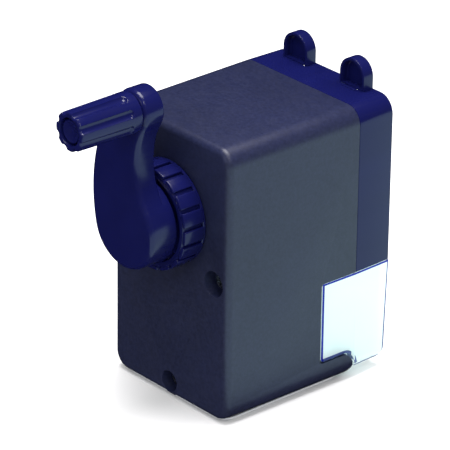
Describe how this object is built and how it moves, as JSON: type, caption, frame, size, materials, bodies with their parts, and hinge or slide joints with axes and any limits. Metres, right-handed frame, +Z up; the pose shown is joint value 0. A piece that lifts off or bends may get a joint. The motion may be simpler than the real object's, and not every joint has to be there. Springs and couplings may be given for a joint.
{
  "type": "pencil sharpener",
  "caption": "Hand-crank desk pencil sharpener with a notched lock ring, a sprung pencil carriage with pinch tabs, and a clear shavings drawer.",
  "frame": {"origin": "on the table, under the middle of the body (half its width, half its depth)", "axes": "+Z up; the crank face looks along -Y and the pencil goes in from +Y; +X completes the right-handed frame"},
  "size_m": [0.0694, 0.1366, 0.1384],
  "materials": {
    "shell_grey": "satin metallic fine grain, glossy on the crank face",
    "blue_gloss": "moulded navy, glossy",
    "clear_drawer": "clear moulded plastic",
    "black_plastic": "moulded, fine satin",
    "white_nylon": "moulded nylon",
    "bright_steel": "ground and polished",
    "tool_steel": "milled cutter",
    "brass": "turned",
    "grip_rubber": "soft matt",
    "pad_foam": "pale anti-slip sheet"
  },
  "bodies": {
    "body_shell": {"housing": "shell_grey", "front_bezel": "blue_gloss", "inner_frame": "black_plastic", "base_pad": "pad_foam", "ring_gear": "white_nylon", "pencil_guide": "white_nylon", "rod_bushings": "white_nylon", "feed_springs": "bright_steel", "rear_screws": "bright_steel", "bezel_screws": "bright_steel"},
    "lock": {"lock_ring": "blue_gloss", "shaft_bushing": "brass"},
    "crank": {"crank_shaft": "bright_steel", "crank_arm": "blue_gloss", "handle_pin": "blue_gloss", "cutter_carrier": "black_plastic", "cutter_axle": "bright_steel", "axle_clip": "bright_steel"},
    "grip": {"handle_grip": "blue_gloss"},
    "cutter": {"helical_cutter": "tool_steel", "cutter_pinion": "brass"},
    "carriage": {"carriage_plate": "blue_gloss", "jaw_guide": "black_plastic", "guide_rods": "bright_steel", "rod_collars": "bright_steel", "carriage_screws": "bright_steel", "tab_spring": "bright_steel"},
    "tab_left": {"left_tab": "blue_gloss"},
    "tab_right": {"right_tab": "blue_gloss"},
    "upper_jaw": {"jaw_top": "bright_steel", "jaw_pad_top": "grip_rubber"},
    "left_jaw": {"jaw_left": "bright_steel", "jaw_pad_left": "grip_rubber"},
    "right_jaw": {"jaw_right": "bright_steel", "jaw_pad_right": "grip_rubber"},
    "drawer": {"shavings_drawer": "clear_drawer"}
  },
  "joints": [
    {"name": "lock_twist", "type": "hinge", "parent": "body_shell", "child": "lock", "pos_m": [0, -0.047, 0.0804], "axis": [0, -1, 0], "range_deg": [0, 30]},
    {"name": "crank_spin", "type": "hinge", "parent": "body_shell", "child": "crank", "pos_m": [0, -0.05, 0.0804], "axis": [0, 1, 0], "continuous": true},
    {"name": "grip_spin", "type": "hinge", "parent": "crank", "child": "grip", "pos_m": [0.0049, -0.082, 0.1296], "axis": [0, 1, 0], "continuous": true},
    {"name": "cutter_spin", "type": "hinge", "parent": "crank", "child": "cutter", "pos_m": [0, 0.0074, 0.092], "axis": [0, 0.9885, 0.1513], "continuous": true},
    {"name": "carriage_slide", "type": "slide", "parent": "body_shell", "child": "carriage", "axis": [0, 1, 0], "range_m": [0, 0.028], "stiffness_N_per_m": 120, "springref_m": -0.03, "deforming": ["feed_springs"]},
    {"name": "left_squeeze", "type": "hinge", "parent": "carriage", "child": "tab_left", "pos_m": [0, 0.0385, 0.0804], "axis": [0, 1, 0], "range_deg": [0, 4], "stiffness_Nm_per_rad": 0.6, "springref_deg": -6.88, "deforming": ["tab_spring"]},
    {"name": "right_squeeze", "type": "hinge", "parent": "carriage", "child": "tab_right", "pos_m": [0, 0.0367, 0.0804], "axis": [0, -1, 0], "range_deg": [0, 4.01]},
    {"name": "upper_jaw_slide", "type": "slide", "parent": "carriage", "child": "upper_jaw", "axis": [0, 0, 1], "range_m": [0, 0.00172]},
    {"name": "left_jaw_slide", "type": "slide", "parent": "carriage", "child": "left_jaw", "axis": [-0.866, 0, -0.5], "range_m": [0, 0.00172]},
    {"name": "right_jaw_slide", "type": "slide", "parent": "carriage", "child": "right_jaw", "axis": [0.866, 0, -0.5], "range_m": [0, 0.00172]},
    {"name": "drawer_slide", "type": "slide", "parent": "body_shell", "child": "drawer", "axis": [0, 1, 0], "range_m": [0, 0.056]}
  ],
  "couplings": [
    {"joint": "cutter_spin", "follows": "crank_spin", "ratio": -3.6364},
    {"joint": "right_squeeze", "follows": "left_squeeze", "ratio": 1},
    {"joint": "upper_jaw_slide", "follows": "left_squeeze", "m_per_rad": 0.02435},
    {"joint": "left_jaw_slide", "follows": "left_squeeze", "m_per_rad": 0.02435},
    {"joint": "right_jaw_slide", "follows": "left_squeeze", "m_per_rad": 0.02435}
  ]
}
